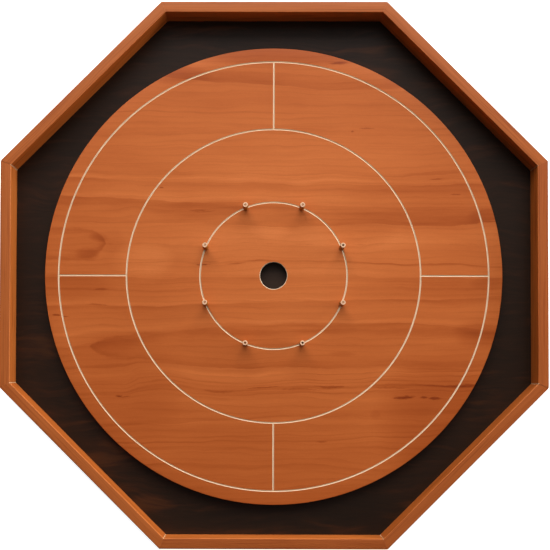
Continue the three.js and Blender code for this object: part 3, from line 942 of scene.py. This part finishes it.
def playing_field():
    """The field, with its scoring lines, its centre hole and the holes for pins and screws."""
    profile = [
        (CENTRE_HOLE_RADIUS, DITCH),
        (FIELD_RADIUS, DITCH),
        *arc((FIELD_RADIUS - FIELD_EDGE_EASE, FIELD_TOP - FIELD_EDGE_EASE), FIELD_EDGE_EASE, 0, 90, 4),
        *groove(LINE_5_RADIUS),
        *groove(LINE_10_RADIUS),
        *groove(LINE_15_RADIUS),
        (CENTRE_HOLE_RADIUS + CENTRE_HOLE_BEVEL, FIELD_TOP),
        (CENTRE_HOLE_RADIUS, FIELD_TOP - CENTRE_HOLE_BEVEL),
    ]
    mesh = turned("playing_field_visual", profile, FIELD_SEGMENTS, closed_loop=True)
    cutters = [straight_cutter(i * math.pi / 2) for i in range(4)]
    for i in POSTS:
        pin = f"post_pin_{i}"
        screw = f"field_screw_{i}"
        pin_bottom = node_box(pin)[0].z
        screw_top = node_box(screw)[1].z
        cutters.append(drill(PIN_RADIUS + CLEARANCE, pin_bottom - GAP, FIELD_TOP + MM, plan_of(pin)))
        cutters.append(drill(SCREW_RADIUS + CLEARANCE, DITCH - MM, screw_top + GAP, plan_of(screw)))
    mesh = cut(mesh, cutters)
    for face in mesh.polygons:
        radius = Vector(face.center).xy.length
        tilt = face.normal.z
        if STEEP < tilt < LEVEL and radius < FIELD_RADIUS - EDGE_ZONE:
            face.material_index = 1
        elif abs(tilt) < STEEP and radius < CENTRE_HOLE_RADIUS + MM:
            face.material_index = 2
        elif abs(tilt) < STEEP and radius > FIELD_RADIUS - EDGE_ZONE:
            face.material_index = 3
    smooth(mesh, 20)
    materials = [FIELD_VENEER, RAW, STAINED_WOOD, PLY_EDGE]
    new_piece("field_board", mesh, materials, "field_wood", "playing_field")


# ------------------------------------------------------------------ base panel


def base_panel():
    """The octagonal panel, with countersunk holes for the field's screws and pilots for the feet's."""
    flat = BASE_HIGH.x
    corners = [polar(flat / math.cos(HALF_STEP), HALF_STEP + i * STEP) for i in range(SIDES)]
    rows = [[(c.x, c.y, z) for c in corners] for z in (BASE_LOW.z, BASE_HIGH.z)]
    head = SCREW_HEAD_RADIUS + CLEARANCE
    shank = SCREW_RADIUS + CLEARANCE
    profile = [
        (head, BASE_LOW.z - MM),
        (head, SCREW_LOW.z),
        (shank, SCREW_LOW.z + SCREW_CONE + CLEARANCE),
        (shank, DITCH + MM),
    ]
    countersink = turned("countersink", profile, 32)
    cutters = [moved(countersink, at(plan_of(f"field_screw_{i}"))) for i in POSTS]
    for i in FEET:
        cutters.append(drill(shank, BASE_LOW.z - MM, DITCH - BASE_PILOT_STOP, plan_of(f"foot_{i}")))
    mesh = smooth(cut(grid_mesh("base_panel_visual", rows), cutters))
    new_piece("base_board", mesh, [STAINED_WOOD], "base_wood", "base_panel")


# ------------------------------------------------------------------ rails

RAIL_STATIONS = 14  # equal lengths that a rail is divided into
RAIL_GRAIN_STEP = Vector((1.7, 0.31, 0.13))  # from one rail's wood to the next one's
ALONG_RAIL = 0.1  # a face whose normal points along the rail by more than this is at its end
INWARDS = -0.9  # a face whose normal points out from the middle by less than this faces the field


def rail_section():
    """A rail's section, as (distance from the centre, height), from its inner bottom edge."""
    steps = 6
    top = RAIL_TOP - RAIL_ROUNDING
    groove_floor = RAIL_INNER + GROOVE_DEPTH
    return [
        (RAIL_INNER + RAIL_EASE, RAIL_BOTTOM),
        *arc((RAIL_OUTER - RAIL_EASE, RAIL_BOTTOM + RAIL_EASE), RAIL_EASE, -90, 0, 3),
        *arc((RAIL_OUTER - RAIL_ROUNDING, top), RAIL_ROUNDING, 0, 90, steps),
        *arc((RAIL_INNER + RAIL_ROUNDING, top), RAIL_ROUNDING, 90, 180, steps),
        (RAIL_INNER, DITCH + GAP),
        (groove_floor, DITCH + GAP),
        (groove_floor, BASE_LOW.z - GAP),
        (RAIL_INNER, BASE_LOW.z - GAP),
        (RAIL_INNER, RAIL_BOTTOM + RAIL_EASE),
    ]


def rail(index):
    """One rail, mitred to meet its neighbours, with a slot for a spline in each end."""
    name = RAILS[index]
    corners = [(index - 1) % SIDES, index]
    half_gaps = [OPEN_MITRE if corner in OPEN_CORNERS else TIGHT_MITRE for corner in corners]
    glue_highlighted = [corner in GLUE_HIGHLIGHT_CORNERS for corner in corners]

    def end(side, radius):
        """How far along the rail an end is, at that distance from the board's centre."""
        return radius * math.tan(HALF_STEP) - half_gaps[side] / math.cos(HALF_STEP)

    between = [(j / RAIL_STATIONS, 0.0) for j in range(1, RAIL_STATIONS)]
    places = [(0.0, 0.0), (0.0, GLUE_HIGHLIGHT_STRIP), *between, (1.0, -GLUE_HIGHLIGHT_STRIP), (1.0, 0.0)]
    rows = []
    for share, extra in places:
        row = []
        for radius, z in rail_section():
            start = -end(0, radius)
            row.append((radius, start + share * (end(1, radius) - start) + extra, z))
        rows.append(row)
    mesh = grid_mesh(name + "_visual", rows)
    slots = []
    for angle in (-HALF_STEP, HALF_STEP):
        middle = (RAIL_INNER + RAIL_OUTER) / 2 / math.cos(HALF_STEP)
        slot = block("slot", SPLINE_SLOT)
        slot.transform(Matrix.Rotation(angle, 4, "Z"))
        slot.transform(at(polar(middle, angle, (DITCH + RAIL_TOP) / 2)))
        slots.append(slot)
    mesh = smooth(cut(mesh, slots))
    for face in mesh.polygons:
        radius, along, _ = face.center
        if radius > RAIL_INNER + RAIL_ROUNDING or abs(face.normal.y) > ALONG_RAIL:
            continue
        at_ends = (along < GLUE_HIGHLIGHT_STRIP - end(0, radius), along > end(1, radius) - GLUE_HIGHLIGHT_STRIP)
        # the pale line at the chosen corners is partly a painted highlight
        if any(near and shown for near, shown in zip(at_ends, glue_highlighted)):
            face.material_index = 2
        # faces towards the field take the cherry painted with shade
        elif face.normal.x < INWARDS:
            face.material_index = 1
    set_grain(mesh, RAIL_GRAIN_STEP * index, RAIL_TONES[index])
    mesh.transform(Matrix.Rotation(index * STEP, 4, "Z"))
    materials = [RAIL_WOOD, SHADED_FACE_WOOD, GLUE_AND_HIGHLIGHT_LINE]
    new_piece(name.replace("rail", "wall"), mesh, materials, "rail_wood", name)


# ------------------------------------------------------------------ posts

DEEP_SHADED_PINS = (1, 6, 7)  # the pins that sit deepest in their bores, whose ends are painted dark brown as painted shade
FACES_UP = 0.8  # a sleeve's face whose normal is more upright than this takes the pale end colour: the cut end, and painted light on the faces that look up


def sleeve_mesh():
    """A rubber sleeve with softly rounded ends, standing at height 0."""
    height = SLEEVE_HIGH.z - SLEEVE_LOW.z
    bore = PIN_RADIUS + CLEARANCE
    lip = 0.45 * MM
    profile = [
        (bore, 0.0),
        *arc((SLEEVE_RADIUS - lip / 2, lip / 2), lip / 2, -90, 0, 3),
        *[(SLEEVE_RADIUS, height * i / 6) for i in range(1, 6)],
        *arc((SLEEVE_RADIUS - lip, height - lip), lip, 0, 90, 5),
        *arc((bore + lip / 2, height - lip / 2), lip / 2, 90, 180, 4),
    ]
    mesh = smooth(turned("sleeve", profile, 40, closed_loop=True), 50)
    # faces that look up take the pale colour: the cut end, with painted light
    for face in mesh.polygons:
        if face.normal.z > FACES_UP:
            face.material_index = 1
    return mesh


def pin_mesh(height):
    """A steel pin of that height, with rounded ends."""
    nose = 0.6 * MM
    profile = [
        *arc((PIN_RADIUS - nose, nose), nose, -90, 0, 4),
        *arc((PIN_RADIUS - nose, height - nose), nose, 0, 90, 4),
    ]
    return smooth(turned("pin", profile, 28), 50)


def posts():
    """The eight posts: a rubber sleeve over a steel pin on each."""
    sleeve = sleeve_mesh()
    for i in POSTS:
        stand_pieces("sleeve", sleeve, [AGED_AND_SHADED_LATEX, CUT_AND_LIT_LATEX_END], "latex", "post_sleeve", [i])
        low, high = node_box(f"post_pin_{i}")
        pin = pin_mesh(high.z - low.z)
        material = DEEP_SHADE_STEEL if i in DEEP_SHADED_PINS else PIN_STEEL
        stand_pieces("pin", pin, [material], "pin_steel", "post_pin", [i])


# ------------------------------------------------------------------ screws and feet

SCREW_SEGMENTS = 24
THREAD_ROOT = 1.25 * MM  # the radius at the bottom of the thread
THREAD_PITCH = 1.5 * MM
THREAD_RINGS = 8  # rings of points in each turn of the thread
THREAD_SHARPNESS = 3.2  # 2 would leave no flat between two ridges
SCREW_TIP = 2.5 * MM  # how long the point is
TIP_BLUNTNESS = 0.04  # how wide its end is, as a share of the shank
RECESS_WING = Vector((3.6, 0.85, 3.0)) * MM  # one of a cross recess's two slots, half of it in the head
RECESS_TAPER = 0.45  # how long it is at its bottom, as a share of its length outside
HEAD_EDGE = 0.2 * MM  # bevel on a countersunk head
PAN_HEAD = [(0.62, 0.0), (0.86, 0.3), (0.97, 0.9), (1.0, 1.3)]  # (share of its radius, height in mm)


def screw_mesh(head, length):
    """A screw that points up, with a cross recess below: a head profile, then a threaded shank."""
    start = head[-1][1]
    rows = rings_of(head, SCREW_SEGMENTS)
    steps = round((length - start) / THREAD_PITCH * THREAD_RINGS)
    for j in range(1, steps + 1):
        z = start + (length - start) * j / steps
        tip = min(1.0, (length - z) / SCREW_TIP + TIP_BLUNTNESS)
        run_in = min(1.0, (z - start) / THREAD_PITCH)
        row = []
        for a in angles_of(SCREW_SEGMENTS):
            phase = (z / THREAD_PITCH - a / (2 * math.pi)) % 1.0
            ridge = max(0.0, 1 - abs(phase - 0.5) * THREAD_SHARPNESS)
            threaded = THREAD_ROOT + (SCREW_RADIUS - THREAD_ROOT) * ridge
            radius = (SCREW_RADIUS * (1 - run_in) + threaded * run_in) * tip
            row.append((radius * math.cos(a), radius * math.sin(a), z))
        rows.append(row)
    recess = []
    for angle in (0, math.pi / 2):
        wing = block("wing", RECESS_WING)
        for vertex in wing.vertices:
            if vertex.co.z > 0:
                vertex.co.x *= RECESS_TAPER
        wing.transform(Matrix.Rotation(angle, 4, "Z"))
        recess.append(wing)
    return smooth(cut(grid_mesh("screw", rows), recess), 40)


def screws():
    """The countersunk screws under the field and the pan-head screws in the feet."""
    head = [
        (SCREW_HEAD_RADIUS - HEAD_EDGE, 0.0),
        (SCREW_HEAD_RADIUS, HEAD_EDGE),
        (SCREW_RADIUS, SCREW_CONE),
    ]
    sunk = screw_mesh(head, SCREW_HIGH.z - SCREW_LOW.z)
    stand_pieces("sunk_screw", sunk, [SCREW_STEEL], "screw_steel", "field_screw", POSTS)
    head = [
        *[(share * SCREW_HEAD_RADIUS, height * MM) for share, height in PAN_HEAD],
        (SCREW_HEAD_RADIUS, FOOT_SCREW_HEAD),
        (SCREW_RADIUS, FOOT_SCREW_HEAD),
    ]
    pan = screw_mesh(head, FOOT_SCREW_HIGH.z - FOOT_SCREW_LOW.z)
    stand_pieces("pan_screw", pan, [SCREW_STEEL], "screw_steel", "foot_screw", FEET)


def feet():
    """The rubber feet, each with a well for its screw's head."""
    height = FOOT_HIGH.z - FOOT_LOW.z
    bore = SCREW_RADIUS + CLEARANCE
    edge = 1.0 * MM
    lip = 0.5 * MM
    profile = [
        (FOOT_WELL_RADIUS + lip, 0.0),
        *arc((FOOT_SOLE_RADIUS - edge, edge), edge, -90, 0, 5),
        (FOOT_RADIUS, height - lip),
        (FOOT_RADIUS - lip, height),
        (bore, height),
        (bore, FOOT_WELL_DEPTH),
        (FOOT_WELL_RADIUS, FOOT_WELL_DEPTH),
        (FOOT_WELL_RADIUS, lip),
    ]
    foot = smooth(turned("foot", profile, 56, closed_loop=True), 40)
    stand_pieces("rubber_foot", foot, [BLACK_RUBBER], "foot_rubber", "foot", FEET)


def splines():
    """The hidden splines keep their CAD shape and get their wood."""
    for i in POSTS:
        spline = bpy.data.objects[f"mitre_spline_{i}"]
        for slot in spline.material_slots:
            slot.material = SPLINE_WOOD


# ------------------------------------------------------------------ stage, light and camera

TABLE = 20.0  # half of the table's width
TABLE_GLOW = 0.95
FILL = 0.035  # the strength of the even light from all sides
# Each softbox's name, where it stands (its turn and tilt in degrees, and its distance), its width,
# its height and its power in watts.
SOFTBOXES = [
    ("softbox", 90, 37, 4.5, 5.5, 3.0, 240),
    ("side_softbox", 18, 16, 4.5, 3.0, 1.0, 116),
    ("high_softbox", 78, 62, 3.5, 2.2, 1.4, 11),
    ("top_softbox", 90, 86, 3.0, 3.0, 3.0, 8),
]
CAMERA_PLACE = (-0.0274, -0.1440, 1.3710)
CAMERA_TURN = (1.165, 0.206, 0.132)  # in degrees; with no turn it would look straight down
LENS = 63.8  # in mm, on a sensor SENSOR mm wide
SENSOR = 36.0
SHIFT = (0.0455, 0.1545)  # in frame widths


def glowing(name):
    """A plain white surface that shines by itself, so that the board's shadow on it stays faint."""
    s = Shader(name)
    s.set(Base_Color=(0.8, 0.8, 0.8, 1.0), Roughness=0.9)
    s.set(Emission_Color=(1.0, 1.0, 1.0, 1.0), Emission_Strength=TABLE_GLOW)
    return s.material


def stage():
    """A plain white table under the board and a backdrop all round. Neither lights the board."""
    table = mesh_of(
        "table",
        [(-TABLE, -TABLE, 0), (TABLE, -TABLE, 0), (TABLE, TABLE, 0), (-TABLE, TABLE, 0)],
        [(0, 1, 2, 3)],
    )
    table.materials.append(glowing("white_table"))
    dome = bmesh.new()
    bmesh.ops.create_uvsphere(dome, u_segments=32, v_segments=16, radius=TABLE)
    backdrop = bpy.data.meshes.new("backdrop")
    dome.to_mesh(backdrop)
    dome.free()
    backdrop.materials.append(glowing("white_backdrop"))
    for mesh in (table, backdrop):
        piece = bpy.data.objects.new(mesh.name, mesh)
        piece.visible_diffuse = False
        piece.visible_glossy = False
        bpy.context.scene.collection.objects.link(piece)
        if mesh is backdrop:
            piece.visible_shadow = False


def area_light(name, turn, tilt, distance, width, height, power):
    """A softbox that shines on the board's middle."""
    data = bpy.data.lights.new(name, "AREA")
    data.shape = "RECTANGLE"
    data.size = width
    data.size_y = height
    data.energy = power
    light = bpy.data.objects.new(name, data)
    place = polar(distance * math.cos(math.radians(tilt)), math.radians(turn))
    place.z = distance * math.sin(math.radians(tilt))
    light.location = place
    light.rotation_euler = (-place).to_track_quat("-Z", "Y").to_euler()
    light.visible_camera = False
    bpy.context.scene.collection.objects.link(light)


def lighting():
    """A large softbox beyond the north rail, a low one to the east, two weak ones above and a fill."""
    for softbox in SOFTBOXES:
        area_light(*softbox)
    world = bpy.data.worlds.new("studio")
    bpy.context.scene.world = world
    world.use_nodes = True
    background = world.node_tree.nodes["Background"]
    background.inputs["Color"].default_value = (1.0, 0.98, 0.96, 1.0)
    background.inputs["Strength"].default_value = FILL
    view = bpy.context.scene.view_settings
    view.view_transform = "Standard"
    view.look = "None"


def camera():
    """Looks down on the board from above its southern half."""
    data = bpy.data.cameras.new("camera")
    data.lens = LENS
    data.sensor_width = SENSOR
    data.shift_x, data.shift_y = SHIFT
    data.clip_end = 2.5 * TABLE
    made = bpy.data.objects.new("camera", data)
    made.location = CAMERA_PLACE
    made.rotation_euler = [math.radians(v) for v in CAMERA_TURN]
    bpy.context.scene.collection.objects.link(made)
    bpy.context.scene.camera = made


camera()
lighting()
stage()
playing_field()
base_panel()
for number in range(SIDES):
    rail(number)
posts()
screws()
feet()
splines()
